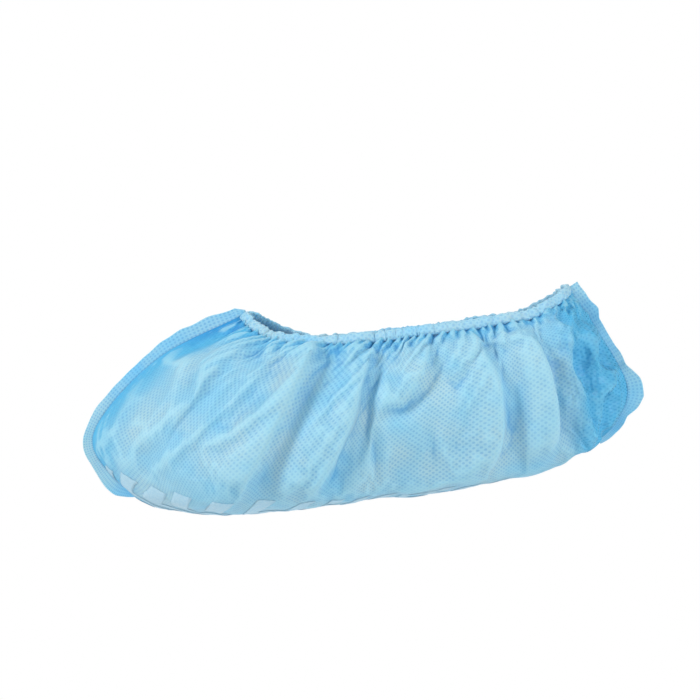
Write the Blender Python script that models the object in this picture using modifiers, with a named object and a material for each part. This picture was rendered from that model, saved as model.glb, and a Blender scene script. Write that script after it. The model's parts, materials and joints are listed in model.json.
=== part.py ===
# Disposable shoe cover in worn form, standing open and empty.
# It is one sheet of non-woven fabric folded under the sole, welded shut at toe and heel,
# gathered by an elastic hem round the opening, with zigzag grip bands printed underneath.
# Frame: metres, +Z up, +X from toe to heel, the near side is -Y.
# The origin is on the inside of the sole, at the middle of its length.

import math
from collections import namedtuple
from functools import lru_cache

import bpy
from mathutils import Vector

# Sizes of the bag, without its seam flanges and hem
BAG_LENGTH = 0.294
BAG_WIDTH = 0.110
BAG_HEIGHT = 0.100
FABRIC_WALL = 0.0012

# Sizes of the hem that holds the elastic
HEM_TALL = 0.0070
HEM_DEEP = 0.0042
HEM_END_RADIUS = 0.0036
HEM_GATHER = 0.10
HEM_GATHER_LENGTH = 0.0085
HEM_SEAT_GAP = 0.0004

# Sizes of the welded seams
SEAM_HALF_GAP = 0.0021
SEAM_SEAT_GAP = 0.0004
FLANGE_THICK = 0.0012
TOE_FLANGE_WIDTH = 0.0060
HEEL_FLANGE_WIDTH = 0.0075
HEEL_FLANGE_WAVE = 0.0016

# Sizes of the grip bands printed under the sole
TREAD_PITCH = 0.0149
TREAD_TOE_MARGIN = 0.0081
TREAD_HEEL_MARGIN = 0.0240
TREAD_HALF_WIDTH_AT_TOE = 0.057
TREAD_HALF_WIDTH_AT_HEEL = 0.030
TREAD_STEP = 0.0034
TREAD_BAND_WIDTH = 0.0060
TREAD_THICK = 0.0005
TREAD_LIFT = 0.0009

# Gathers below the hem, on each side
GATHER_COUNT = 13
GATHER_DEPTH = 0.0017
GATHER_FALL = 0.017

# Folds rise over this length below the rim, which itself stays nearly level
FOLD_RISE_START = 0.006
FOLD_RISE = 0.020

# How finely the bag is divided, along its length and round half of a section
LENGTH_STEPS = 50
HALF_SECTION_STEPS = 16

# Each section runs from the keel under the sole up to the hem, near side and far side alike.
# Column along is a share of BAG_LENGTH, out of half of BAG_WIDTH, up of BAG_HEIGHT.
Spot = namedtuple("Spot", "along out up")
Section = namedtuple("Section", "share keel sole_edge belly shoulder hem")
SECTIONS = [
    Section(0.00, Spot(-0.408, 0.0, 0.15), Spot(-0.462, 0.0, 0.265), Spot(-0.487, 0.0, 0.53),
            Spot(-0.350, 0.0, 0.88), Spot(-0.184, 0.0, 1.05)),
    Section(0.05, Spot(-0.386, 0.0, 0.12), Spot(-0.434, 0.21, 0.232), Spot(-0.458, 0.32, 0.50),
            Spot(-0.331, 0.22, 0.845), Spot(-0.178, 0.13, 1.00)),
    Section(0.13, Spot(-0.335, 0.0, 0.08), Spot(-0.362, 0.52, 0.15), Spot(-0.380, 0.70, 0.44),
            Spot(-0.286, 0.50, 0.81), Spot(-0.155, 0.30, 0.93)),
    Section(0.25, Spot(-0.285, 0.0, 0.035), Spot(-0.295, 0.70, 0.06), Spot(-0.298, 0.89, 0.36),
            Spot(-0.205, 0.73, 0.74), Spot(-0.105, 0.48, 0.86)),
    Section(0.38, Spot(-0.200, 0.0, 0.0), Spot(-0.205, 0.80, 0.02), Spot(-0.168, 1.0, 0.32),
            Spot(-0.085, 0.86, 0.67), Spot(-0.014, 0.65, 0.815)),
    Section(0.50, Spot(-0.078, 0.0, -0.012), Spot(-0.075, 0.80, 0.0), Spot(-0.045, 0.96, 0.31),
            Spot(0.030, 0.85, 0.64), Spot(0.076, 0.68, 0.80)),
    Section(0.62, Spot(0.055, 0.0, -0.015), Spot(0.058, 0.71, 0.0), Spot(0.075, 0.88, 0.32),
            Spot(0.125, 0.81, 0.64), Spot(0.155, 0.68, 0.795)),
    Section(0.74, Spot(0.215, 0.0, -0.015), Spot(0.220, 0.61, -0.005), Spot(0.238, 0.79, 0.33),
            Spot(0.252, 0.76, 0.65), Spot(0.245, 0.63, 0.795)),
    Section(0.85, Spot(0.325, 0.0, -0.002), Spot(0.338, 0.51, 0.012), Spot(0.352, 0.71, 0.35),
            Spot(0.350, 0.70, 0.68), Spot(0.333, 0.53, 0.825)),
    Section(0.94, Spot(0.401, 0.0, 0.05), Spot(0.420, 0.36, 0.09), Spot(0.447, 0.48, 0.37),
            Spot(0.432, 0.45, 0.71), Spot(0.410, 0.31, 0.900)),
    Section(1.00, Spot(0.446, 0.0, 0.10), Spot(0.483, 0.0, 0.18), Spot(0.514, 0.0, 0.37),
            Spot(0.476, 0.0, 0.68), Spot(0.433, 0.0, 0.935)),
]

# Main folds of the side walls, as seen from the side: each runs from a top to a foot.
# Columns along and bow are shares of BAG_LENGTH, up and wide and deep of BAG_HEIGHT.
# The cloth towards the toe laps over the valley behind it, or in front where lap is -1.
# Lap 0 is a soft swell, or a hollow where deep is negative.
Fold = namedtuple("Fold", "side top_along top_up foot_along foot_up bow wide deep lap")
FOLDS = [
    Fold(-1, -0.010, 0.82, -0.205, 0.06, 0.000, 0.15, 0.055, 1),
    Fold(-1, 0.078, 0.80, -0.078, 0.00, 0.020, 0.13, 0.060, 1),
    Fold(-1, 0.130, 0.74, -0.044, 0.20, 0.000, 0.10, 0.030, 1),
    Fold(-1, 0.165, 0.80, 0.070, 0.42, 0.030, 0.12, 0.038, 1),
    Fold(-1, 0.243, 0.81, 0.252, 0.16, 0.040, 0.15, 0.055, 1),
    Fold(-1, 0.330, 0.81, 0.357, 0.06, 0.030, 0.12, 0.050, 1),
    Fold(-1, -0.225, 0.76, -0.398, 0.45, 0.000, 0.08, 0.022, 0),
    Fold(-1, -0.163, 0.88, -0.274, 0.63, 0.000, 0.08, 0.024, 0),
    Fold(-1, -0.110, 0.80, -0.320, 0.44, 0.000, 0.10, -0.020, 0),
    Fold(-1, 0.420, 0.80, 0.470, 0.15, 0.010, 0.07, 0.028, 1),
    Fold(1, -0.050, 0.80, -0.180, 0.08, 0.010, 0.15, 0.050, 1),
    Fold(1, 0.060, 0.78, -0.030, 0.04, 0.015, 0.13, 0.052, 1),
    Fold(1, 0.170, 0.78, 0.120, 0.05, 0.030, 0.14, 0.050, 1),
    Fold(1, 0.290, 0.80, 0.300, 0.06, 0.030, 0.13, 0.048, 1),
    Fold(1, -0.200, 0.78, -0.360, 0.42, 0.000, 0.09, 0.024, 0),
    Fold(1, 0.400, 0.80, 0.450, 0.16, 0.010, 0.07, 0.026, 1),
]

# Shape of a lapped fold: widths are shares of the fold's own width, the depth of its own depth
LAP_EDGE = 0.40
LAP_DROP = 0.45
LAP_REACH = 0.85
LAP_VALLEY_WIDTH = 0.45
LAP_VALLEY_DEPTH = 0.75

# Cross folds under the sole, where the loose cloth sags.
# Columns along and wide are shares of BAG_LENGTH, deep of BAG_HEIGHT.
Scallop = namedtuple("Scallop", "along wide deep")
SCALLOPS = [
    Scallop(-0.230, 0.040, 0.012),
    Scallop(-0.105, 0.030, 0.020),
    Scallop(-0.020, 0.028, -0.014),
    Scallop(0.095, 0.045, 0.018),
    Scallop(0.225, 0.050, 0.012),
    Scallop(0.330, 0.035, -0.012),
]

# One corner of a grip band: out is a share of the band's half width, back of TREAD_PITCH.
Corner = namedtuple("Corner", "out back")
ZIGZAG = [Corner(1.0, 0.85), Corner(0.76, 0.0), Corner(0.38, 1.0), Corner(0.0, 0.0)]

# Colours of the fabric, its welds and its print
FABRIC_BLUE = (0.36, 0.66, 0.86, 1.0)
WELD_BLUE = (0.22, 0.56, 0.84, 1.0)
HEM_BLUE = (0.42, 0.72, 0.90, 1.0)
PRINT_WHITE = (0.82, 0.90, 0.94, 1.0)


def clear_scene():
    for old in list(bpy.data.objects):
        bpy.data.objects.remove(old)


def make_collection(name):
    collection = bpy.data.collections.new(name)
    bpy.context.scene.collection.children.link(collection)
    return collection


def make_material(name, colour, roughness):
    material = bpy.data.materials.new(name)
    material.use_nodes = True
    surface = material.node_tree.nodes["Principled BSDF"]
    surface.inputs["Base Color"].default_value = colour
    surface.inputs["Roughness"].default_value = roughness
    surface.inputs["Metallic"].default_value = 0.0
    return material


def mesh_object(name, points, faces, collection, material):
    mesh = bpy.data.meshes.new(name)
    mesh.from_pydata(points, [], faces)
    mesh.update()
    made = bpy.data.objects.new(name, mesh)
    collection.objects.link(made)
    mesh.materials.append(material)
    mesh.shade_smooth()
    return made


def through_knots(knots, values, place):
    """A smooth curve through the values, with the slope at each knot taken from its neighbours."""
    last = len(knots) - 1
    left = 0
    while left < last - 1 and place > knots[left + 1]:
        left += 1
    right = left + 1
    span = knots[right] - knots[left]

    def slope(knot):
        before = max(knot - 1, 0)
        after = min(knot + 1, last)
        return (values[after] - values[before]) / (knots[after] - knots[before])

    u = (place - knots[left]) / span
    start = values[left] * (2 * u ** 3 - 3 * u ** 2 + 1)
    end = values[right] * (3 * u ** 2 - 2 * u ** 3)
    leave = slope(left) * span * (u ** 3 - 2 * u ** 2 + u)
    arrive = slope(right) * span * (u ** 3 - u ** 2)
    return start + end + leave + arrive


def spot_point(spot, side):
    half_width = BAG_WIDTH / 2 - SEAM_HALF_GAP
    out = SEAM_HALF_GAP + spot.out * half_width
    return Vector((spot.along * BAG_LENGTH, side * out, spot.up * BAG_HEIGHT))


def keel_point(spot):
    return Vector((spot.along * BAG_LENGTH, 0.0, spot.up * BAG_HEIGHT))


SECTION_SHARES = [section.share for section in SECTIONS]
SECTION_RAILS = ("hem", "shoulder", "belly", "sole_edge")
SECTION_KNOTS = (-1.0, -0.79, -0.53, -0.28, 0.0, 0.28, 0.53, 0.79, 1.0)


RAILS = [[spot_point(getattr(s, rail), -1) for s in SECTIONS] for rail in SECTION_RAILS]
RAILS.append([keel_point(section.keel) for section in SECTIONS])


@lru_cache(maxsize=None)
def section_points(share):
    """The nine points of a section, from the near hem under the keel to the far hem."""
    points = [through_knots(SECTION_SHARES, rail, share) for rail in RAILS]
    mirrored = [Vector((p.x, -p.y, p.z)) for p in reversed(points[:-1])]
    return points + mirrored


def bag_point(share, turn):
    """The smooth bag without folds: share runs from toe to heel, turn from near to far hem."""
    return through_knots(SECTION_KNOTS, section_points(share), turn)


def bag_normal(share, turn):
    step = 0.004
    before, after = max(share - step, 0.0), min(share + step, 1.0)
    near, far = max(turn - step, -1.0), min(turn + step, 1.0)
    along = bag_point(after, turn) - bag_point(before, turn)
    across = bag_point(share, far) - bag_point(share, near)
    return across.cross(along).normalized()


def ease(value):
    value = min(max(value, 0.0), 1.0)
    return value * value * (3 - 2 * value)


def bump(distance, width):
    return math.exp(-((distance / width) ** 2))


def lapped(distance):
    """Cross profile of a lapped pleat: a swell, a sharp drop and a valley beside it."""
    distance += LAP_EDGE
    ridge = bump(distance, 1.0 if distance < 0 else LAP_DROP)
    valley = bump(distance - LAP_REACH, LAP_VALLEY_WIDTH)
    return ridge - LAP_VALLEY_DEPTH * valley


def fold_height(fold, point):
    top = Vector((fold.top_along * BAG_LENGTH, fold.top_up * BAG_HEIGHT))
    foot = Vector((fold.foot_along * BAG_LENGTH, fold.foot_up * BAG_HEIGHT))
    line = foot - top
    length = line.length
    offset = Vector((point.x, point.z)) - top
    along = offset.dot(line) / length ** 2
    if not -0.2 < along < 1.2:
        return 0.0
    across = (offset.y * line.x - offset.x * line.y) / length
    across -= 4 * fold.bow * BAG_LENGTH * along * (1 - along)
    distance = across / (fold.wide * BAG_HEIGHT)
    run = ease((along + 0.15) / 0.3) * ease((1.15 - along) / 0.3)
    profile = lapped(distance * fold.lap) if fold.lap else bump(distance, 1.0)
    return fold.deep * BAG_HEIGHT * run * profile


def gather_height(share, turn, hem_distance):
    side_phase = 0.6 if turn < 0 else 2.1
    sway = 0.8 * math.sin(9.0 * share + side_phase)
    wave = math.sin(2 * math.pi * GATHER_COUNT * share + sway + side_phase)
    strength = 0.75 + 0.25 * math.sin(17.0 * share + side_phase)
    return GATHER_DEPTH * wave * strength * math.exp(-hem_distance / GATHER_FALL)


def scallop_height(point, turn):
    under = 1 - ease((abs(turn) - 0.14) / 0.25)
    total = 0.0
    for scallop in SCALLOPS:
        distance = point.x - scallop.along * BAG_LENGTH
        total += scallop.deep * BAG_HEIGHT * bump(distance, scallop.wide * BAG_LENGTH)
    return total * under


def cover_point(share, turn):
    """A point of the outer surface, with the folds, gathers and scallops."""
    point = bag_point(share, turn)
    side = -1 if turn < 0 else 1
    wall = ease((abs(turn) - 0.24) / 0.20)
    height = sum(fold_height(fold, point) for fold in FOLDS if fold.side == side) * wall
    hem_distance = (bag_point(share, side) - point).length
    height *= ease((hem_distance + FOLD_RISE_START) / FOLD_RISE)
    height += gather_height(share, turn, hem_distance)
    height += scallop_height(point, turn)
    ends = ease(share / 0.07) * ease((1 - share) / 0.05)
    return point + bag_normal(share, turn) * height * ends


def make_bag(collection, material):
    """The folded sheet: a loft of open sections, closed by a narrow strip at each end."""
    section_steps = 2 * HALF_SECTION_STEPS
    row = section_steps + 1
    points = []
    for i in range(LENGTH_STEPS + 1):
        for j in range(row):
            points.append(cover_point(i / LENGTH_STEPS, j / HALF_SECTION_STEPS - 1))
    faces = []
    for i in range(LENGTH_STEPS):
        for j in range(section_steps):
            corner = i * row + j
            faces.append((corner, corner + 1, corner + row + 1, corner + row))
    heel = LENGTH_STEPS * row
    for j in range(HALF_SECTION_STEPS):
        strip = [j, section_steps - j, section_steps - j - 1, j + 1]
        if j == HALF_SECTION_STEPS - 1:
            strip = strip[:3]
        faces.append(tuple(strip))
        faces.append(tuple(heel + corner for corner in reversed(strip)))
    bag = mesh_object("fabric_bag", points, faces, collection, material)
    wall = bag.modifiers.new("wall", "SOLIDIFY")
    wall.thickness = FABRIC_WALL
    wall.offset = -1.0
    return bag


def hem_seat(share, side):
    """A point of the hem's middle line, square above the bag's rim."""
    step = 0.01
    rim = cover_point(share, side)
    along = bag_point(min(share + step, 1.0), side) - bag_point(max(share - step, 0.0), side)
    along.y = 0.0
    along.normalize()
    upward = Vector((-along.z, 0.0, along.x))
    out = max(abs(rim.y), HEM_END_RADIUS)
    middle = Vector((rim.x, side * out, rim.z))
    return middle + upward * (HEM_TALL / 2 + HEM_SEAT_GAP)


def hem_route():
    """The closed middle line of the hem: near side, round the heel, far side, round the toe."""
    shares = [i / LENGTH_STEPS for i in range(1, LENGTH_STEPS)]
    near = [hem_seat(share, -1) for share in shares]
    far = [hem_seat(share, 1) for share in reversed(shares)]

    def turn(entry, leave):
        middle = (entry[-1] + leave[0]) / 2
        half = (leave[0] - entry[-1]) / 2
        forward = entry[-1] - entry[-2]
        forward.y = 0.0
        forward.normalize()
        angles = [math.pi * k / 5 for k in range(1, 5)]
        return [middle - half * math.cos(a) + forward * half.length * math.sin(a) for a in angles]

    return near + turn(near, far) + far + turn(far, near)


def make_hem(collection, guides, material):
    """The gathered casing that holds the elastic: an oval section swept round the opening."""
    outline = bpy.data.curves.new("hem_outline", "CURVE")
    outline.dimensions = "2D"
    oval = outline.splines.new("POLY")
    oval_sides = 8
    oval.points.add(oval_sides - 1)
    for k, point in enumerate(oval.points):
        angle = -2 * math.pi * (k + 0.5) / oval_sides
        point.co = (HEM_DEEP / 2 * math.cos(angle), HEM_TALL / 2 * math.sin(angle), 0.0, 1.0)
    oval.use_cyclic_u = True
    guide = bpy.data.objects.new("hem_outline", outline)
    guide.hide_render = True
    guides.objects.link(guide)

    route = hem_route()
    sweep = bpy.data.curves.new("elastic_hem", "CURVE")
    sweep.dimensions = "3D"
    sweep.twist_mode = "Z_UP"
    sweep.bevel_mode = "OBJECT"
    sweep.bevel_object = guide
    spline = sweep.splines.new("POLY")
    spline.points.add(len(route) - 1)
    run = 0.0
    for k, (point, place) in enumerate(zip(spline.points, route)):
        run += (place - route[k - 1]).length if k else 0.0
        pinch = HEM_GATHER * (0.5 + 0.5 * math.sin(2 * math.pi * run / HEM_GATHER_LENGTH))
        point.co = (place.x, place.y, place.z, 1.0)
        point.radius = 1.0 - pinch
    spline.use_cyclic_u = True
    hem = bpy.data.objects.new("elastic_hem", sweep)
    collection.objects.link(hem)
    sweep.materials.append(material)
    return hem


def seam_line(share, outwards, width, last_turn, wave):
    """Inner and outer edge of a seam flange that follows the welded end of the bag."""
    last_step = int(HALF_SECTION_STEPS * last_turn)
    turns = [step / HALF_SECTION_STEPS for step in range(1, last_step + 1)]
    turns.append(last_turn)
    inner = []
    outer = []
    for turn in turns:
        along = bag_point(share, min(turn + 0.02, 1.0)) - bag_point(share, turn - 0.02)
        along.y = 0.0
        along.normalize()
        away = Vector((-along.z, 0.0, along.x)) * outwards
        seat = bag_point(share, turn)
        seat.y = 0.0
        sway = Vector((0.0, wave * math.sin(11.0 * turn + 0.6), 0.0))
        inner.append(seat + away * SEAM_SEAT_GAP)
        outer.append(seat + away * (SEAM_SEAT_GAP + width) + sway)
    return inner, outer


def make_flange(name, share, outwards, width, last_turn, wave, collection, material):
    inner, outer = seam_line(share, outwards, width, last_turn, wave)
    count = len(inner)
    faces = [(j, j + 1, count + j + 1, count + j) for j in range(count - 1)]
    flange = mesh_object(name, inner + outer, faces, collection, material)
    sheet = flange.modifiers.new("sheet", "SOLIDIFY")
    sheet.thickness = FLANGE_THICK
    sheet.offset = 0.0
    return flange


def half_section_length(share):
    steps = 24
    run = [bag_point(share, k / steps) for k in range(steps + 1)]
    return sum((after - before).length for before, after in zip(run, run[1:]))


def share_at_keel(along):
    """The section whose keel lies at this length, found by halving."""
    low, high = 0.0, 1.0
    for _ in range(24):
        middle = (low + high) / 2
        if bag_point(middle, 0.0).x < along:
            low = middle
        else:
            high = middle
    return (low + high) / 2


def tread_place(along, across):
    """A place of the flat print, carried round the bag: along the keel, then across it."""
    share = share_at_keel(along)
    length = half_section_length(share)
    turn = across / length
    for _ in range(2):
        reach = (bag_point(share, abs(turn)) - bag_point(share, 0.0)).length
        turn *= abs(across) / reach if reach > 0 else 1.0
    return cover_point(share, turn)


def tread_corners():
    left = [Corner(-corner.out, corner.back) for corner in ZIGZAG]
    return left + list(reversed(ZIGZAG[:-1]))


def tread_starts():
    """Places along the keel where the grip bands begin, from toe to heel."""
    first = bag_point(0.0, 0.0).x + TREAD_TOE_MARGIN
    room = bag_point(1.0, 0.0).x - TREAD_HEEL_MARGIN - TREAD_BAND_WIDTH - first
    return [first + number * TREAD_PITCH for number in range(int(room / TREAD_PITCH))]


def make_tread(number, starts, bag, collection, material):
    """One zigzag grip band, wrapped on to the underside of the bag."""
    first = starts[number]
    heelward = number / (len(starts) - 1)
    half_width = TREAD_HALF_WIDTH_AT_TOE * (1 - heelward) + TREAD_HALF_WIDTH_AT_HEEL * heelward
    corners = tread_corners()
    line = []
    for start, end in zip(corners, corners[1:]):
        pieces = math.ceil(abs(end.out - start.out) * half_width / TREAD_STEP)
        for k in range(pieces):
            u = k / pieces
            line.append(Corner(start.out + (end.out - start.out) * u,
                               start.back + (end.back - start.back) * u))
    line.append(corners[-1])
    rows = (0.0, 1.0)
    points = []
    for across in rows:
        for corner in line:
            along = first + corner.back * TREAD_PITCH + across * TREAD_BAND_WIDTH
            points.append(tread_place(along, corner.out * half_width))
    count = len(line)
    faces = []
    for r in range(len(rows) - 1):
        for k in range(count - 1):
            corner = r * count + k
            faces.append((corner, corner + 1, corner + count + 1, corner + count))
    tread = mesh_object(f"grip_band_{number + 1:02d}", points, faces, collection, material)
    wrap = tread.modifiers.new("wrap", "SHRINKWRAP")
    wrap.target = bag
    wrap.wrap_method = "NEAREST_SURFACEPOINT"
    wrap.wrap_mode = "OUTSIDE_SURFACE"
    wrap.offset = TREAD_LIFT
    coat = tread.modifiers.new("coat", "SOLIDIFY")
    coat.thickness = TREAD_THICK
    coat.offset = 1.0
    return tread


def build():
    clear_scene()
    cover = make_collection("shoe_cover")
    guides = make_collection("guides")
    guides.hide_render = True
    fabric = make_material("fabric", FABRIC_BLUE, 0.75)
    weld = make_material("weld", WELD_BLUE, 0.60)
    casing = make_material("casing", HEM_BLUE, 0.75)
    print_coat = make_material("print_coat", PRINT_WHITE, 0.55)

    bag = make_bag(cover, fabric)
    make_hem(cover, guides, casing)
    make_flange("toe_seam", 0.0, 1, TOE_FLANGE_WIDTH, 0.97, 0.0, cover, weld)
    make_flange("heel_seam", 1.0, -1, HEEL_FLANGE_WIDTH, 0.97, HEEL_FLANGE_WAVE, cover, weld)
    starts = tread_starts()
    for number in range(len(starts)):
        make_tread(number, starts, bag, cover, print_coat)


build()
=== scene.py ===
# %% [markdown]
# # A disposable shoe cover
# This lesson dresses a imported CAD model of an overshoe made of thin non-woven fabric.
# The real thing starts as one flat sheet, folded in two along its length. Two welds close
# it at the toe and at the heel, and a hem with an elastic thread gathers its rim.
# The CAD gives the rough form in metres: +X from toe to heel, +Z up, near side at -Y.
# Here the cloth is made again, much finer, from the same flat sheet as the real one.

# %% Load the frame
import json
import math
from collections import namedtuple
from functools import lru_cache

import bmesh
import bpy
import numpy as np
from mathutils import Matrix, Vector, noise
from mathutils.bvhtree import BVHTree

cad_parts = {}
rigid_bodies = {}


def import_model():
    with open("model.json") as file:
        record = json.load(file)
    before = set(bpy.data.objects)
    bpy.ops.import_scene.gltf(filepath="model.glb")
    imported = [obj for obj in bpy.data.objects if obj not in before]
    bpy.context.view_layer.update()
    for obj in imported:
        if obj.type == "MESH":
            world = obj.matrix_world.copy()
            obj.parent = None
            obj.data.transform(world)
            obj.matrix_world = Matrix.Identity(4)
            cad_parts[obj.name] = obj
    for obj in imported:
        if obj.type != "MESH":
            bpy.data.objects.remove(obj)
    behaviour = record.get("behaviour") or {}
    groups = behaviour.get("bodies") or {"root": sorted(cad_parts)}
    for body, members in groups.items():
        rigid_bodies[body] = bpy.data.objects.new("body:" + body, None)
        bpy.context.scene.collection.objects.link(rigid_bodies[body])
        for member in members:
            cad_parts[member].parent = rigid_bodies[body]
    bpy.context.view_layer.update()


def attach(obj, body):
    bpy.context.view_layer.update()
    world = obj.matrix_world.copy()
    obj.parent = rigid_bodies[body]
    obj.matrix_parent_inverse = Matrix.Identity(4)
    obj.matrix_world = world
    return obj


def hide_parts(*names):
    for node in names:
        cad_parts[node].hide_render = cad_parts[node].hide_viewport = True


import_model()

# %% [markdown]
# ## Camera and light
# The photograph was taken from the side with a long lens. The cover points down towards
# its toe by eight degrees there, so the camera is rolled by that angle instead, because
# the part itself lies level. The floor is far below, as the cover is held up in the air.
# From below the floor can be seen through, so that the print under the sole can be looked at.

# %% Place the camera
METRES_PER_PIXEL = 0.00055
PICTURE_PIXELS = 700
LENS = 100.0
SENSOR = 36.0
TOE_DIP = math.radians(8.0)
LOOK_DOWN = math.radians(1.0)
AIM = Vector((0.0028, 0.0, 0.0780))

view_width = METRES_PER_PIXEL * PICTURE_PIXELS
distance = view_width * LENS / SENSOR
right = Vector((math.cos(TOE_DIP), 0.0, -math.sin(TOE_DIP)))
level_up = Vector((math.sin(TOE_DIP), 0.0, math.cos(TOE_DIP)))
forward = Vector((0.0, math.cos(LOOK_DOWN), 0.0)) - level_up * math.sin(LOOK_DOWN)
up = right.cross(forward)
lens_data = bpy.data.cameras.new("camera")
lens_data.lens = LENS
lens_data.sensor_width = SENSOR
camera = bpy.data.objects.new("camera", lens_data)
bpy.context.scene.collection.objects.link(camera)
turn = camera.matrix_world.to_3x3()
turn.col[0] = right
turn.col[1] = up
turn.col[2] = -forward
camera.matrix_world = turn.to_4x4()
camera.location = AIM - forward * distance
bpy.context.scene.camera = camera
print(f"camera {distance:.3f} m away")


# %% Light the studio
def studio_light(name, place, aim, size, power):
    data = bpy.data.lights.new(name, "AREA")
    data.shape = "DISK"
    data.size = size
    data.energy = power
    lamp = bpy.data.objects.new(name, data)
    lamp.location = place
    lamp.rotation_euler = (aim - place).to_track_quat("-Z", "Y").to_euler()
    bpy.context.scene.collection.objects.link(lamp)


Lamp = namedtuple("Lamp", "name place size power")
LAMPS = (
    Lamp("key", (-0.85, -0.60, 0.85), 0.40, 9.2),
    Lamp("fill", (0.90, -0.70, 0.45), 0.35, 5.0),
    Lamp("back", (0.10, 0.90, 0.80), 0.70, 2.0),
)
LIT_MIDDLE = Vector((0.0, 0.0, 0.05))
SKY_SEEN = 1.0
SKY_LIGHT = 0.48

for row in LAMPS:
    studio_light(row.name, Vector(row.place), LIT_MIDDLE, row.size, row.power)

bpy.context.scene.view_settings.view_transform = "Standard"
world = bpy.data.worlds.new("studio")
bpy.context.scene.world = world
world.use_nodes = True
sky = world.node_tree
seen = sky.nodes.new("ShaderNodeLightPath")
level = sky.nodes.new("ShaderNodeMapRange")
level.inputs["To Min"].default_value = SKY_LIGHT
level.inputs["To Max"].default_value = SKY_SEEN
sky.nodes["Background"].inputs["Color"].default_value = (1.0, 1.0, 1.0, 1.0)
sky.links.new(seen.outputs["Is Camera Ray"], level.inputs["Value"])
sky.links.new(level.outputs["Result"], sky.nodes["Background"].inputs["Strength"])

# %% Lay the floor
FLOOR_DROP = 0.12
FLOOR_SIZE = 40.0
FLOOR_WHITE = (0.90, 0.90, 0.90, 1.0)

bm = bmesh.new()
bmesh.ops.create_grid(bm, x_segments=1, y_segments=1, size=FLOOR_SIZE / 2)
bmesh.ops.translate(bm, verts=bm.verts, vec=(0.0, 0.0, -FLOOR_DROP))
floor_mesh = bpy.data.meshes.new("floor")
bm.to_mesh(floor_mesh)
bm.free()
floor = bpy.data.objects.new("floor", floor_mesh)
bpy.context.scene.collection.objects.link(floor)
floor_paint = bpy.data.materials.new("floor")
floor_paint.use_nodes = True
tree = floor_paint.node_tree

# The camera sees it as plain white, and only the light that it throws back is that of matt paint
matt = tree.nodes["Principled BSDF"]
matt.inputs["Base Color"].default_value = FLOOR_WHITE
matt.inputs["Roughness"].default_value = 0.9
glow = tree.nodes.new("ShaderNodeEmission")
path = tree.nodes.new("ShaderNodeLightPath")
either = tree.nodes.new("ShaderNodeMixShader")
tree.links.new(path.outputs["Is Camera Ray"], either.inputs["Fac"])
tree.links.new(matt.outputs["BSDF"], either.inputs[1])
tree.links.new(glow.outputs["Emission"], either.inputs[2])

# Its lower face is clear
below = tree.nodes.new("ShaderNodeNewGeometry")
clear = tree.nodes.new("ShaderNodeBsdfTransparent")
one_sided = tree.nodes.new("ShaderNodeMixShader")
tree.links.new(below.outputs["Backfacing"], one_sided.inputs["Fac"])
tree.links.new(either.outputs["Shader"], one_sided.inputs[1])
tree.links.new(clear.outputs["BSDF"], one_sided.inputs[2])
tree.links.new(one_sided.outputs["Shader"], tree.nodes["Material Output"].inputs["Surface"])
floor_mesh.materials.append(floor_paint)
print("floor", FLOOR_DROP, "m below the sole")

# %% [markdown]
# ## The worn form
# The cover is described by sections that run from the near hem, under the sole, to the far
# hem. A section is a share of the way from toe to heel, and a turn is a share of the way
# from the keel, 0, to a hem, -1 or 1. Between the rows of the table the form runs on
# smooth curves. It is the same table as in the CAD, so the two fit each other. Only the rim
# is lifted a little later on, to where the photograph has it.

# %% Table of sections
BAG_LENGTH = 0.294
BAG_WIDTH = 0.110
BAG_HEIGHT = 0.100
SEAM_HALF_GAP = 0.0004

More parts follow.
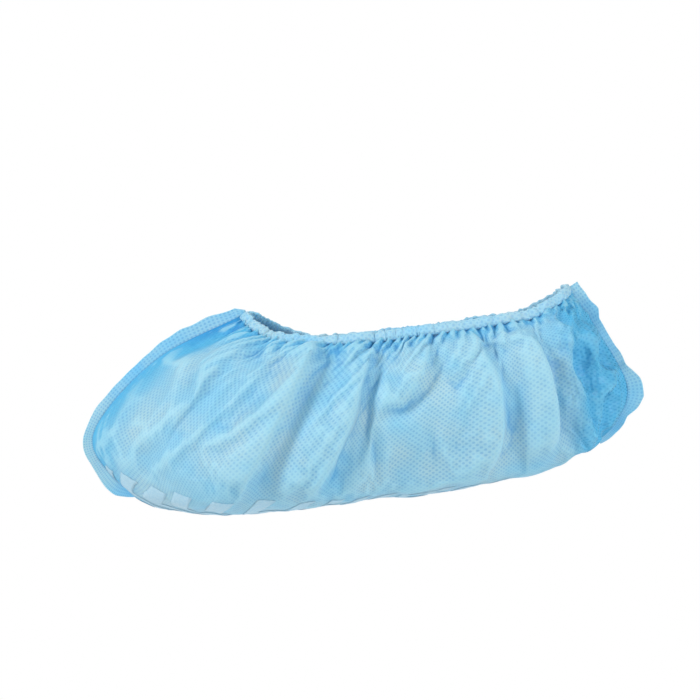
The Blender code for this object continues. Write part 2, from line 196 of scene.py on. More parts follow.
Spot = namedtuple("Spot", "along out up")
Section = namedtuple("Section", "share keel sole_edge belly shoulder hem")
SECTIONS = [
    Section(0.00, Spot(-0.408, 0.0, 0.15), Spot(-0.462, 0.0, 0.265), Spot(-0.487, 0.0, 0.53),
            Spot(-0.350, 0.0, 0.88), Spot(-0.184, 0.0, 1.05)),
    Section(0.05, Spot(-0.386, 0.0, 0.12), Spot(-0.434, 0.21, 0.232), Spot(-0.458, 0.32, 0.50),
            Spot(-0.331, 0.22, 0.845), Spot(-0.178, 0.13, 1.00)),
    Section(0.13, Spot(-0.335, 0.0, 0.08), Spot(-0.362, 0.52, 0.15), Spot(-0.380, 0.70, 0.44),
            Spot(-0.286, 0.50, 0.81), Spot(-0.155, 0.30, 0.93)),
    Section(0.25, Spot(-0.285, 0.0, 0.035), Spot(-0.295, 0.70, 0.06), Spot(-0.298, 0.89, 0.36),
            Spot(-0.205, 0.73, 0.74), Spot(-0.105, 0.48, 0.86)),
    Section(0.38, Spot(-0.200, 0.0, 0.0), Spot(-0.205, 0.80, 0.02), Spot(-0.168, 1.0, 0.32),
            Spot(-0.085, 0.86, 0.67), Spot(-0.014, 0.65, 0.815)),
    Section(0.50, Spot(-0.078, 0.0, -0.012), Spot(-0.075, 0.80, 0.0), Spot(-0.045, 0.96, 0.31),
            Spot(0.030, 0.85, 0.64), Spot(0.076, 0.68, 0.80)),
    Section(0.62, Spot(0.055, 0.0, -0.015), Spot(0.058, 0.71, 0.0), Spot(0.075, 0.88, 0.32),
            Spot(0.125, 0.81, 0.64), Spot(0.155, 0.68, 0.795)),
    Section(0.74, Spot(0.215, 0.0, -0.015), Spot(0.220, 0.61, -0.005), Spot(0.238, 0.79, 0.33),
            Spot(0.252, 0.76, 0.65), Spot(0.245, 0.63, 0.795)),
    Section(0.85, Spot(0.325, 0.0, -0.002), Spot(0.338, 0.51, 0.012), Spot(0.352, 0.71, 0.35),
            Spot(0.350, 0.70, 0.68), Spot(0.333, 0.53, 0.825)),
    Section(0.94, Spot(0.401, 0.0, 0.05), Spot(0.420, 0.36, 0.09), Spot(0.447, 0.48, 0.37),
            Spot(0.432, 0.45, 0.71), Spot(0.410, 0.31, 0.900)),
    Section(1.00, Spot(0.446, 0.0, 0.10), Spot(0.483, 0.0, 0.18), Spot(0.514, 0.0, 0.37),
            Spot(0.476, 0.0, 0.68), Spot(0.433, 0.0, 0.935)),
]
RAIL_TURNS = (-1.0, -0.79, -0.53, -0.28, 0.0, 0.28, 0.53, 0.79, 1.0)
print(len(SECTIONS), "sections")


# %% Smooth form between the sections
def through_knots(knots, values, place):
    """A smooth curve through the values, with the slope at each knot taken from its neighbours."""
    last = len(knots) - 1
    left = 0
    while left < last - 1 and place > knots[left + 1]:
        left += 1
    right = left + 1
    span = knots[right] - knots[left]

    def slope(knot):
        before = max(knot - 1, 0)
        after = min(knot + 1, last)
        return (values[after] - values[before]) / (knots[after] - knots[before])

    u = (place - knots[left]) / span
    start = values[left] * (2 * u ** 3 - 3 * u ** 2 + 1)
    end = values[right] * (3 * u ** 2 - 2 * u ** 3)
    leave = slope(left) * span * (u ** 3 - 2 * u ** 2 + u)
    arrive = slope(right) * span * (u ** 3 - u ** 2)
    return start + end + leave + arrive


def rail_point(spot, side):
    out = abs(side) * (SEAM_HALF_GAP + spot.out * (BAG_WIDTH / 2 - SEAM_HALF_GAP))
    return np.array((spot.along * BAG_LENGTH, math.copysign(out, side), spot.up * BAG_HEIGHT))


SHARES = [section.share for section in SECTIONS]
RAILS = [[rail_point(getattr(section, rail), side) for section in SECTIONS]
         for rail, side in (("hem", -1), ("shoulder", -1), ("belly", -1), ("sole_edge", -1), ("keel", 0),
                            ("sole_edge", 1), ("belly", 1), ("shoulder", 1), ("hem", 1))]


@lru_cache(maxsize=None)
def section_points(share):
    return [through_knots(SHARES, rail, share) for rail in RAILS]


def bag_point(share, turn):
    return through_knots(RAIL_TURNS, section_points(share), turn)


print("form at mid sole:", bag_point(0.5, 0.0).round(4))

# %% [markdown]
# ## Folds
# A pull-on cover has more cloth than the form needs. The spare cloth lies in lapped folds
# that hang from the gathered hem and lean towards the toe. Each row of the table is one
# such fold, drawn as a line from its top to its foot. Beside the line the cloth swells,
# turns over a soft edge and dives into a valley, and the edge leans over the valley.

# %% Table of folds
Fold = namedtuple("Fold", "side top_along top_up foot_along foot_up bow wide deep lap")
FOLDS = [
    Fold(-1, -0.010, 0.84, -0.205, 0.04, 0.000, 0.17, 0.072, 1),
    Fold(-1, 0.070, 0.80, -0.084, 0.00, 0.012, 0.15, 0.071, 1),
    Fold(-1, 0.112, 0.72, -0.044, 0.16, 0.000, 0.08, 0.018, 0),
    Fold(-1, 0.165, 0.80, 0.070, 0.42, 0.030, 0.11, 0.052, 1),
    Fold(-1, 0.243, 0.81, 0.252, 0.02, 0.040, 0.18, 0.068, 1),
    Fold(-1, 0.330, 0.81, 0.357, 0.06, 0.030, 0.14, 0.064, 1),
    Fold(-1, -0.225, 0.76, -0.398, 0.45, 0.000, 0.045, 0.030, 0),
    Fold(-1, -0.120, 0.86, -0.350, 0.34, 0.010, 0.040, 0.030, 0),
    Fold(-1, -0.145, 0.85, -0.262, 0.65, -0.015, 0.075, 0.034, 1),
    Fold(-1, -0.060, 0.80, -0.255, 0.40, 0.020, 0.045, 0.032, 0),
    Fold(-1, -0.110, 0.80, -0.320, 0.44, 0.000, 0.090, -0.030, 0),
    Fold(-1, 0.408, 0.80, 0.430, 0.15, 0.010, 0.07, 0.028, 1),
    Fold(-1, 0.452, 0.84, 0.448, 0.44, 0.000, 0.040, 0.040, 0),
    Fold(-1, 0.476, 0.46, 0.424, 0.10, -0.010, 0.045, 0.040, 0),
    Fold(-1, 0.425, 0.62, 0.462, 0.28, 0.000, 0.045, -0.022, 0),
    Fold(1, -0.050, 0.80, -0.180, 0.08, 0.010, 0.15, 0.050, 1),
    Fold(1, 0.060, 0.78, -0.030, 0.04, 0.015, 0.13, 0.052, 1),
    Fold(1, 0.170, 0.78, 0.120, 0.05, 0.030, 0.14, 0.050, 1),
    Fold(1, 0.290, 0.80, 0.300, 0.06, 0.030, 0.13, 0.048, 1),
    Fold(1, -0.200, 0.78, -0.360, 0.42, 0.000, 0.09, 0.024, 0),
    Fold(1, 0.400, 0.80, 0.450, 0.16, 0.010, 0.07, 0.026, 1),
]
LAP_EDGE = 0.50
LAP_DROP = 0.22
LAP_REACH = 0.56
LAP_VALLEY_WIDTH = 0.50
LAP_VALLEY_DEPTH = 0.72
LAP_LEAN = 0.50
LEAN_OFFSET = 0.05
LEAN_WIDTH = 0.35
FOLD_FADE = 0.15
print(len(FOLDS), "folds")


# %% Shape of one fold
def ease(value):
    value = min(max(value, 0.0), 1.0)
    return value * value * (3 - 2 * value)


def bump(distance, width):
    return math.exp(-((distance / width) ** 2))


def lapped(distance):
    """Height of a lapped fold, and how far its edge leans over the valley."""
    distance += LAP_EDGE
    ridge = bump(distance, 1.0 if distance < 0 else LAP_DROP)
    valley = bump(distance - LAP_REACH, LAP_VALLEY_WIDTH)
    return ridge - LAP_VALLEY_DEPTH * valley, LAP_LEAN * bump(distance + LEAN_OFFSET, LEAN_WIDTH)


def fold_reach(fold, point):
    """Height and lean of a fold at a point of the side, in metres."""
    top = np.array((fold.top_along * BAG_LENGTH, fold.top_up * BAG_HEIGHT))
    line = np.array((fold.foot_along * BAG_LENGTH, fold.foot_up * BAG_HEIGHT)) - top
    length = math.hypot(*line)
    offset = point[[0, 2]] - top
    along = float(offset @ line) / length ** 2
    if not -0.2 < along < 1.2:
        return 0.0, 0.0
    across = (offset[1] * line[0] - offset[0] * line[1]) / length
    across -= 4 * fold.bow * BAG_LENGTH * along * (1 - along)
    distance = across / (fold.wide * BAG_HEIGHT)
    run = ease((along + FOLD_FADE) / (2 * FOLD_FADE)) * ease((1 + FOLD_FADE - along) / (2 * FOLD_FADE))
    height, lean = lapped(distance) if fold.lap else (bump(distance, 1.0), 0.0)
    deep = fold.deep * BAG_HEIGHT * run
    return deep * height, deep * lean


# %% [markdown]
# ## Gathers
# The elastic pulls the rim to about half its length, so the cloth under the hem stands in
# small sharp pleats. They are widest apart low down and die out within a few centimetres.
# A pleat isn't a sine wave: its valley is narrow, and neighbours differ in depth and length.

# %% Gathers under the hem
GATHER_COUNT = 42
GATHER_DEPTH = 0.0034
GATHER_FALL = 0.012
GATHER_LEAN = 55.0
GATHER_LEAST_FALL = 0.004
BROAD_COUNT = 15
BROAD_DEPTH = 0.0022
BROAD_FALL = 0.028
BROAD_START = 0.006
PLEAT_SWAY = 0.55
PLEAT_DEPTH = 0.95
PLEAT_UNEVEN = 0.5
PLEAT_SHARP = 0.30


def pleat_wave(place, seed):
    """A wave with narrow valleys whose pitch and depth wander."""
    sway = PLEAT_SWAY * noise.noise(Vector((place * 0.9, seed, 0.3)))
    phase = 2 * math.pi * (place + sway)
    depth = PLEAT_DEPTH + PLEAT_UNEVEN * noise.noise(Vector((place * 0.7, seed, 4.1)))
    sharp = math.cos(phase) + PLEAT_SHARP * math.cos(2 * phase + 0.6)
    return -depth * sharp


def gather_height(share, turn, drop):
    """Height of the pleats at a point whose distance below the rim is drop."""
    seed = 1.7 if turn < 0 else 6.2
    place = share * GATHER_COUNT
    reach = GATHER_FALL * (1.05 + 1.3 * noise.noise(Vector((place * 0.6, seed, 8.8))))
    fade = math.exp(-drop / max(reach, GATHER_LEAST_FALL))
    fine = GATHER_DEPTH * pleat_wave(place + GATHER_LEAN * drop, seed) * fade
    broad = BROAD_DEPTH * pleat_wave(share * BROAD_COUNT, seed + 3.0) * math.exp(-drop / BROAD_FALL)
    return fine + broad * ease(drop / BROAD_START)


# %% [markdown]
# ## Scallops under the sole
# The spare cloth under the sole sags in a few shallow cross folds, so the lower edge of the
# cover isn't straight. Each row is one of them, and a negative depth draws the cloth in.

# %% Table of scallops
Scallop = namedtuple("Scallop", "along wide deep")
SCALLOPS = [
    Scallop(-0.380, 0.065, 0.045),
    Scallop(-0.230, 0.040, 0.012),
    Scallop(-0.105, 0.030, 0.008),
    Scallop(-0.060, 0.012, -0.018),
    Scallop(-0.020, 0.028, -0.014),
    Scallop(0.030, 0.045, -0.026),
    Scallop(0.095, 0.045, 0.018),
    Scallop(0.205, 0.065, 0.022),
    Scallop(0.315, 0.040, 0.022),
    Scallop(0.420, 0.050, 0.018),
]
SOLE_TURN = 0.16
SOLE_FADE = 0.25


def scallop_height(point, turn):
    under = 1 - ease((abs(turn) - SOLE_TURN) / SOLE_FADE)
    if not under:
        return 0.0
    return under * sum(row.deep * BAG_HEIGHT * bump(point[0] / BAG_LENGTH - row.along, row.wide)
                       for row in SCALLOPS)


print(len(SCALLOPS), "scallops")

# %% [markdown]
# ## The sheet
# Now the flat sheet is laid out as a grid, as it comes off the roll, with its own UV map in
# metres. Then each point of the grid is carried to its place on the worn form. The UV map
# stays flat, so the bond pattern later follows the cloth through every fold. The rim is
# lifted, and on the far side near the toe it is lifted more, where it shows over the near one.

# %% Worn place of each point
SHEET_LENGTH = 0.360
SHEET_WIDTH = 0.320
LENGTH_CELLS = 144
WIDTH_CELLS = 80
FRAME_STEP = 0.004
WALL_TURN = 0.20
WALL_FADE = 0.24
RIM_LIFT = 0.0020
RIM_HEEL_DIP = 1.6
FAR_RISE = 0.0050
RIM_TURN = 0.80
RIM_FADE = 0.20


@lru_cache(maxsize=None)
def smooth_frame(share, turn):
    """Point, outward normal and toe-to-heel direction of the form without folds."""
    step = FRAME_STEP
    along = bag_point(min(share + step, 1.0), turn) - bag_point(max(share - step, 0.0), turn)
    across = bag_point(share, min(turn + step, 1.0)) - bag_point(share, max(turn - step, -1.0))
    normal = np.cross(across, along)
    return bag_point(share, turn), normal / np.linalg.norm(normal), along / np.linalg.norm(along)


def rim_rise(share, side):
    """How far the rim stands above that of the sections."""
    rise = RIM_LIFT * (1 - RIM_HEEL_DIP * ease((share - 0.76) / 0.12))
    if side > 0:
        rise += FAR_RISE * ease((share - 0.015) / 0.09) * ease((0.34 - share) / 0.20)
    return rise


def worn_point(share, turn):
    """A point of the sheet on the worn form, with its folds, pleats and scallops."""
    point, normal, along = smooth_frame(share, turn)
    side = -1 if turn < 0 else 1
    wall = ease((abs(turn) - WALL_TURN) / WALL_FADE)
    reaches = [fold_reach(fold, point) for fold in FOLDS if fold.side == side] if wall else []
    drop = float(np.linalg.norm(bag_point(share, side) - point))
    below_hem = ease((drop + 0.004) / 0.018)
    height = sum(reach[0] for reach in reaches) * wall * below_hem
    lean = sum(reach[1] for reach in reaches) * wall * below_hem
    height += gather_height(share, turn, drop) + scallop_height(point, turn)
    ends = ease(share / 0.06) * ease((1 - share) / 0.05)
    lift = rim_rise(share, side) * ease((abs(turn) - RIM_TURN) / RIM_FADE)
    return point + (normal * height + along * lean + np.array((0.0, 0.0, lift))) * ends


print("worn at mid side:", worn_point(0.5, -0.6).round(4))


# %% Lay out the grid and carry it to the worn form
def sheet_object(name, points, columns, rows, flat_size, joined=False):
    """A grid of cloth whose vertices stand at the given points, row by row."""
    bm = bmesh.new()
    flat = bm.loops.layers.uv.new("sheet")
    grid = bmesh.ops.create_grid(bm, x_segments=columns, y_segments=rows, size=0.5)["verts"]
    grid.sort(key=lambda v: (round((v.co.y + 0.5) * rows), round((v.co.x + 0.5) * columns)))
    spots = {v: (v.co.x + 0.5, v.co.y + 0.5) for v in grid}
    for face in bm.faces:
        for loop in face.loops:
            u, v = spots[loop.vert]
            loop[flat].uv = (u * flat_size[0], v * flat_size[1])
    for vert, point in zip(grid, points):
        vert.co = point
    if joined:
        bmesh.ops.remove_doubles(bm, verts=bm.verts, dist=1e-6)
        bmesh.ops.recalc_face_normals(bm, faces=bm.faces)
    else:
        bmesh.ops.reverse_faces(bm, faces=bm.faces)
    mesh = bpy.data.meshes.new(name)
    bm.to_mesh(mesh)
    bm.free()
    made = bpy.data.objects.new(name, mesh)
    bpy.context.scene.collection.objects.link(made)
    return made


worn = [worn_point(i / LENGTH_CELLS, 2 * j / WIDTH_CELLS - 1)
        for j in range(WIDTH_CELLS + 1) for i in range(LENGTH_CELLS + 1)]
cloth = sheet_object("shoe_cover_cloth", worn, LENGTH_CELLS, WIDTH_CELLS, (SHEET_LENGTH, SHEET_WIDTH))
print("cloth grid:", len(cloth.data.vertices), "points")

# %% [markdown]
# ## Let the cloth settle
# The worn form is still too tidy. Blender's cloth gets spare length here, the way the real
# sheet has it, so it has to buckle into wrinkles of its own. The rim and both welded ends
# are held, and a smooth last inside keeps the walls out. The last is only a helper and is
# removed again. The sole and the toe are taut, the sides looser and the heel loosest.

# %% How loose the cloth is
SIDE_SPARE = 0.060
TOE_SPARE_SHARE = 0.25
HEEL_SPARE = 0.065
MOST_SPARE = 0.15
RIM_HELD = 0.06
ENDS_HELD = 0.03

worn_at = np.array(worn)
shares = np.tile(np.arange(LENGTH_CELLS + 1) / LENGTH_CELLS, WIDTH_CELLS + 1)
turns = np.repeat(2 * np.arange(WIDTH_CELLS + 1) / WIDTH_CELLS - 1, LENGTH_CELLS + 1)


def eased(values):
    values = np.clip(values, 0.0, 1.0)
    return values * values * (3 - 2 * values)


walls = eased((np.abs(turns) - 0.16) / 0.30)
toe_taut = eased((shares - 0.10) / 0.35)
side_spare = SIDE_SPARE * (TOE_SPARE_SHARE + (1 - TOE_SPARE_SHARE) * toe_taut)
loose = walls * (side_spare + HEEL_SPARE * eased((shares - 0.68) / 0.2))
held = np.maximum.reduce([eased(1 - (1 - np.abs(turns)) / RIM_HELD), eased(1 - shares / ENDS_HELD),
                          eased(1 - (1 - shares) / ENDS_HELD)])
print("spare length", loose.min().round(3), "to", loose.max().round(3))


# %% A last inside the cover
LAST_GAP = 0.0045
LAST_CELLS = 40
LAST_START = 0.04
LAST_SPAN = 0.92
CONTACT_GAP = 0.0012


def last_point(share, turn):
    point, normal, _ = smooth_frame(share, turn)
    return point - normal * LAST_GAP


last_at = [last_point(LAST_START + LAST_SPAN * i / LAST_CELLS, 2 * j / LAST_CELLS - 1)
           for j in range(LAST_CELLS + 1) for i in range(LAST_CELLS + 1)]
last = sheet_object("last", last_at, LAST_CELLS, LAST_CELLS, (1.0, 1.0))
last.modifiers.new("solid", "COLLISION")
last.collision.thickness_outer = CONTACT_GAP
last.collision.cloth_friction = 4.0
last.collision.use_culling = False
print("last of", len(last_at), "points")

# %% Run the cloth
CLOTH_FRAMES = 16
MOST_MOVE = 0.0030


def weigh(sheet, name, weights):
    group = sheet.vertex_groups.new(name=name)
    for index, weight in enumerate(weights):
        if weight > 0:
            group.add([index], float(weight), "REPLACE")
    return name


def settle(sheet, held, loose):
    """Runs the cloth from the sheet's own shape with spare length where it is loose."""
    cloth = sheet.modifiers.new("cloth", "CLOTH")
    settings = cloth.settings
    settings.quality = 6
    settings.mass = 0.0015
    settings.tension_stiffness = 6.0
    settings.compression_stiffness = 6.0
    settings.shear_stiffness = 3.0
    settings.bending_stiffness = 0.010
    settings.air_damping = 2.0
    settings.vertex_group_mass = weigh(sheet, "held", held)
    settings.pin_stiffness = 1.0
    settings.vertex_group_shrink = weigh(sheet, "taut", 1 - loose / MOST_SPARE)
    settings.shrink_min = -MOST_SPARE
    settings.shrink_max = 0.0
    settings.effector_weights.gravity = 0.10
    cloth.collision_settings.use_collision = True
    cloth.collision_settings.distance_min = CONTACT_GAP
    cloth.collision_settings.use_self_collision = False
    cloth.point_cache.frame_end = CLOTH_FRAMES
    scene = bpy.context.scene
    for moment in range(1, CLOTH_FRAMES + 1):
        scene.frame_set(moment)
    graph = bpy.context.evaluated_depsgraph_get()
    moved = np.empty(len(sheet.data.vertices) * 3, dtype=np.float32)
    sheet.evaluated_get(graph).data.vertices.foreach_get("co", moved)
    sheet.modifiers.remove(cloth)
    sheet.vertex_groups.clear()
    scene.frame_set(1)
    return moved.reshape(-1, 3)


cloth_at = worn_at
moves = settle(cloth, held, loose) - worn_at
reach = np.linalg.norm(moves, axis=1, keepdims=True)
soft_reach = MOST_MOVE * np.tanh(reach / MOST_MOVE)
cloth_at = worn_at + moves * soft_reach / np.maximum(reach, 1e-9)
print("cloth moved", round(float(reach.mean()), 4), "m, at most", round(float(reach.max()), 4))
bpy.data.objects.remove(last)

# %% [markdown]
# ## Creases
# Where the cloth dives into a valley less light gets in and two layers lie close together.
# The fabric's colour gets that as painted shade: a crease value is worked out from how hollow
# the cloth is at each point, on two scales. It darkens the hollows, and it lightens convex
# ridges with a painted highlight. It is stored on the mesh, and the fabric's colour reads it
# later. Before that the cloth gets sharp crumples, which are strong at the heel and faint
# elsewhere. Both sides are then kept apart, so that they never pass through each other next
# to a weld. A second value tells how loose the cloth is: near the toe weld, under the hem and
# at the heel its blue is stronger. A third one tells where it is crumpled, and the fabric
# gets small flat facets there.

# %% Normals and blur on the grid
spots = cloth_at.reshape(WIDTH_CELLS + 1, LENGTH_CELLS + 1, 3)


def unit(vectors):
    return vectors / np.maximum(np.linalg.norm(vectors, axis=-1, keepdims=True), 1e-12)


def surface_normals(grid):
    along = np.gradient(grid, axis=1)
    across = np.gradient(grid, axis=0)
    return unit(np.cross(across, along))


def blurred(grid, passes):
    for _ in range(passes):
        padded = np.pad(grid, ((1, 1), (1, 1)) + ((0, 0),) * (grid.ndim - 2), mode="edge")
        grid = (padded[:-2, 1:-1] + padded[2:, 1:-1] + padded[1:-1, :-2] + padded[1:-1, 2:]
                + 2 * grid) / 6
    return grid


print("grid of", spots.shape[:2])

# %% Crumple the cloth
CRUMPLE_EVERYWHERE = 0.07
CRUMPLE_TOE = 0.45
CRUMPLE_LEVEL = 0.25
CRUMPLES = ((48.0, 0.0130), (105.0, 0.0062), (240.0, 0.0004))
SIDES_APART = 0.0006


def crumple_at(spot):
    """Sharp ridges from folded noise, summed over the scales of the table."""
    return sum(depth * (CRUMPLE_LEVEL - abs(noise.noise(spot * scale + Vector((scale, 0.0, 0.0)))))
               for scale, depth in CRUMPLES)


share_grid = shares.reshape(spots.shape[:2])
turn_grid = turns.reshape(spots.shape[:2])
hem_fade = eased((1 - np.abs(turn_grid)) / 0.12)
end_fade = eased(share_grid / 0.02) * eased((1 - share_grid) / 0.02)
crumpled = (CRUMPLE_EVERYWHERE + (1 - CRUMPLE_EVERYWHERE) * eased((share_grid - 0.84) / 0.10)
            + CRUMPLE_TOE * eased(1 - share_grid / 0.09) * eased(1 - (np.abs(turn_grid) - 0.2) / 0.4))
crumpled = np.minimum(crumpled, 1.0)
crumple = np.array([[crumple_at(Vector(spot)) for spot in line] for line in spots])
crumple *= crumpled * hem_fade * end_fade
spots = spots + surface_normals(spots) * crumple[..., None]
apart = SEAM_HALF_GAP + SIDES_APART * end_fade
spots[..., 1] = np.where(turn_grid < 0, np.minimum(spots[..., 1], -apart), spots[..., 1])
spots[..., 1] = np.where(turn_grid > 0, np.maximum(spots[..., 1], apart), spots[..., 1])
cloth.data.vertices.foreach_set("co", np.ascontiguousarray(spots, dtype=np.float32).ravel())
cloth.data.update()
print("crumples from", crumple.min().round(4), "to", crumple.max().round(4), "m")

# %% Find the creases
CREASE_FINE = 0.00070
CREASE_BROAD = 0.0030
FINE_SHARE = 0.60
BROAD_SHARE = 0.40
FINE_PASSES = 2
BROAD_PASSES = 40
TOE_LOOSE = 0.85
RIM_LOOSE = 0.70
TOE_CORNER_LOOSE = 1.1
HEEL_CREASE_LESS = 0.5
RIM_CREASE_MORE = 0.6
TOE_EDGE_CREASE = 0.9


def hollow(grid, passes):
    """How far the cloth lies behind its own blurred form, in metres."""
    return np.einsum("ijk,ijk->ij", blurred(grid, passes) - grid, surface_normals(blurred(grid, 3)))


def within(distance, reach):
    """1 at no distance, and 0 from the reach on."""
    return eased(1 - distance / reach)


from_rim = 1 - np.abs(turn_grid)
rim_near = within(from_rim, 0.16)
loose_near = np.maximum.reduce([TOE_LOOSE * within(share_grid, 0.13), RIM_LOOSE * rim_near,
                                eased((share_grid - 0.86) / 0.09)])
loose_near += TOE_CORNER_LOOSE * within(share_grid, 0.17) * within(from_rim, 0.24)
# Painted fold shading: positive in hollows, which get painted shade, and negative on convex ridges, which
# get a painted highlight
painted_fold_shading = FINE_SHARE * np.clip(hollow(spots, FINE_PASSES) / CREASE_FINE, -1, 1)
painted_fold_shading += BROAD_SHARE * np.clip(hollow(spots, BROAD_PASSES) / CREASE_BROAD, -1, 1)
# The painted shade is weaker at the heel and stronger under the hem, and a strip along the low part of the
# toe weld is darkened as well
painted_fold_shading *= (1 - HEEL_CREASE_LESS * eased((share_grid - 0.84) / 0.08)) * (1 + RIM_CREASE_MORE * rim_near)
painted_fold_shading += TOE_EDGE_CREASE * within(share_grid, 0.02) * eased((0.62 - np.abs(turn_grid)) / 0.2)


def store(piece, name, values):
    layer = piece.data.attributes.new(name, "FLOAT", "POINT")
    layer.data.foreach_set("value", np.ascontiguousarray(values, dtype=np.float32).ravel())
    print(name, values.min().round(2), "to", values.max().round(2))


store(cloth, "painted_fold_shading", painted_fold_shading)
store(cloth, "loose", loose_near)
store(cloth, "crumpled", crumpled)

# %% Finish the cloth piece
CLOTH_THICK = 0.0005

cloth.data.shade_smooth()
round_off = cloth.modifiers.new("round", "SUBSURF")
round_off.levels = 1
round_off.render_levels = 1
graph = bpy.context.evaluated_depsgraph_get()
surface = BVHTree.FromObject(cloth, graph)
wall = cloth.modifiers.new("wall", "SOLIDIFY")
wall.thickness = CLOTH_THICK
wall.offset = -1.0
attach(cloth, "root")
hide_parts("fabric_bag")

# %% [markdown]
# ## The hem
# The rim of the sheet is folded over an elastic thread and stitched, which makes a casing
# between five and six millimetres tall. The thread pulls it together into a closed ring of
# small ruffles. The ring here follows the rim of the settled cloth, and each ruffle is
# weakest at mid height, where the thread holds it.

# %% Route of the hem
HEM_TALL = 0.0056
HEM_DEEP = 0.0032
HEM_RISE = 0.0020
HEM_STATIONS = 960
HEM_SIDES = 20
ROUTE_PASSES = 42
RISE_PASSES = 56
OUTWARD_PASSES = 4
LEAST_RISE = np.array((0.0, 0.0, 0.006))

rim = np.concatenate([spots[0], spots[-1][::-1]])
below = np.concatenate([spots[3], spots[-4][::-1]])
run = np.concatenate([[0.0], np.cumsum(np.linalg.norm(np.diff(rim, axis=0), axis=1))])
stations = np.linspace(0.0, run[-1], HEM_STATIONS, endpoint=False)


def at_stations(values):
    return np.column_stack([np.interp(stations, run, values[:, k]) for k in range(3)])


def ring_blurred(values, passes):
    for _ in range(passes):
        values = (np.roll(values, 1, axis=0) + 2 * values + np.roll(values, -1, axis=0)) / 4
    return values


route = ring_blurred(at_stations(rim), ROUTE_PASSES)
round_length = float(np.linalg.norm(route - np.roll(route, 1, axis=0), axis=1).sum())
tangents = unit(np.roll(route, -1, axis=0) - np.roll(route, 1, axis=0))
rise = ring_blurred(at_stations(rim - below), RISE_PASSES) + LEAST_RISE
rise = unit(rise - tangents * np.sum(rise * tangents, axis=1, keepdims=True))
outward = ring_blurred(np.cross(rise, tangents), OUTWARD_PASSES)
print("hem", round(round_length, 3), "m round")

# %% Make the hem
RUFFLE_PITCH = 0.0040
RUFFLE_OUT = 0.00075
RUFFLE_UP = 0.00060
RUFFLE_FINE = 0.45
RUFFLE_DEPTH = 0.80
RUFFLE_UNEVEN = 1.3
HEM_SQUARENESS = 0.8
HEM_MIDDLE_WAVE = 0.35
HEM_FLAT_WIDTH = 0.018

ring_run = np.linspace(0.0, 1.0, HEM_STATIONS + 1)
ruffles = round(round_length / RUFFLE_PITCH)
angles = np.linspace(0.0, 2 * math.pi, HEM_SIDES + 1)


def wandering(place, seed, pitch):
    """A wave with uneven pitch and depth that closes on itself round the ring."""
    turn = 2 * math.pi * place
    there = Vector((math.cos(turn), math.sin(turn), seed))
    sway = 0.9 * noise.noise(there * 5.0) + 0.5 * noise.noise(there * 13.0)
    depth = RUFFLE_DEPTH + RUFFLE_UNEVEN * noise.noise(there * 17.0 + Vector((4.0, 0.0, 0.0)))
    phase = turn * pitch + 6.0 * sway
    fine = RUFFLE_FINE * noise.noise(there * 90.0)
    return depth * (math.cos(phase) + 0.28 * math.cos(2 * phase + 0.7)) + fine


def squared(value):
    """Makes the round section of the hem somewhat square."""
    return math.copysign(abs(value) ** HEM_SQUARENESS, value)


top_wave = np.array([wandering(place, 0.4, ruffles) for place in ring_run])
low_wave = np.array([wandering(place, 2.9, ruffles) for place in ring_run])
top_wave[-1] = top_wave[0]
low_wave[-1] = low_wave[0]
closed = np.arange(HEM_STATIONS + 1) % HEM_STATIONS
hem_points = []
for angle in angles:
    wide = squared(math.cos(angle))
    high = squared(math.sin(angle))
    wave = top_wave * (0.5 + 0.5 * high) + low_wave * (0.5 - 0.5 * high)
    out = HEM_DEEP / 2 * wide + RUFFLE_OUT * wave * (HEM_MIDDLE_WAVE + (1 - HEM_MIDDLE_WAVE) * high * high)
    tall = HEM_TALL / 2 * high + HEM_RISE + RUFFLE_UP * top_wave * max(high, 0.0)
    hem_points.append(route[closed] + outward[closed] * out[:, None] + rise[closed] * tall[:, None])
hem_points[-1] = hem_points[0]
hem = sheet_object("hem_casing", np.concatenate(hem_points), HEM_STATIONS, HEM_SIDES,
                   (round_length, HEM_FLAT_WIDTH), joined=True)
hem.data.shade_smooth()
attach(hem, "root")
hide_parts("elastic_hem")
print("hem ruffles:", ruffles)

# %% [markdown]
# ## The welds
# A hot wheel melts both layers together at the toe and at the heel and leaves a flat edge
# with rows of small dots. The toe weld is nearly straight and widest high up. The heel weld
# is pressed out of line by its own spare length, stands in shallow creases and has a tab
# that points to the back.

# %% Make the welds
WELD_STEPS = 150
WELD_ROWS = 10
TOE_WELD_WIDTH = 0.0060
WELD_THICK = 0.0006
WELD_TUCK = 0.0004
WELD_START_TURN = 0.02
WELD_END_TURN = 1.015


def weld_object(name, share, away_sign, width_at, sway_at):
    """A flat edge that stands out from a welded end, from the keel up to the hem."""
    steps = np.linspace(WELD_START_TURN, WELD_END_TURN, WELD_STEPS + 1)
    seat = np.array([bag_point(share, turn) for turn in steps])
    seat[:, 1] = 0.0
    along = unit(np.gradient(seat, axis=0))
    away = np.column_stack((-along[:, 2], np.zeros(len(along)), along[:, 0])) * away_sign
    length = np.concatenate([[0.0], np.cumsum(np.linalg.norm(np.diff(seat, axis=0), axis=1))])
    widths = np.array([width_at(place, place / length[-1]) for place in length])
    rows = []
    for across in np.linspace(0.0, 1.0, WELD_ROWS + 1):
        sway = np.array([sway_at(place, across) for place in length])
        point = seat + away * (across * widths - WELD_TUCK)[:, None]
        point[:, 1] += sway
        rows.append(point)
    made = sheet_object(name, np.concatenate(rows), WELD_STEPS, WELD_ROWS,
                        (float(length[-1]), TOE_WELD_WIDTH))
    made.data.shade_smooth()
    wall = made.modifiers.new("wall", "SOLIDIFY")
    wall.thickness = WELD_THICK
    wall.offset = 0.0
    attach(made, "root")
    print(name, round(float(length[-1]), 3), "m long")
    return made


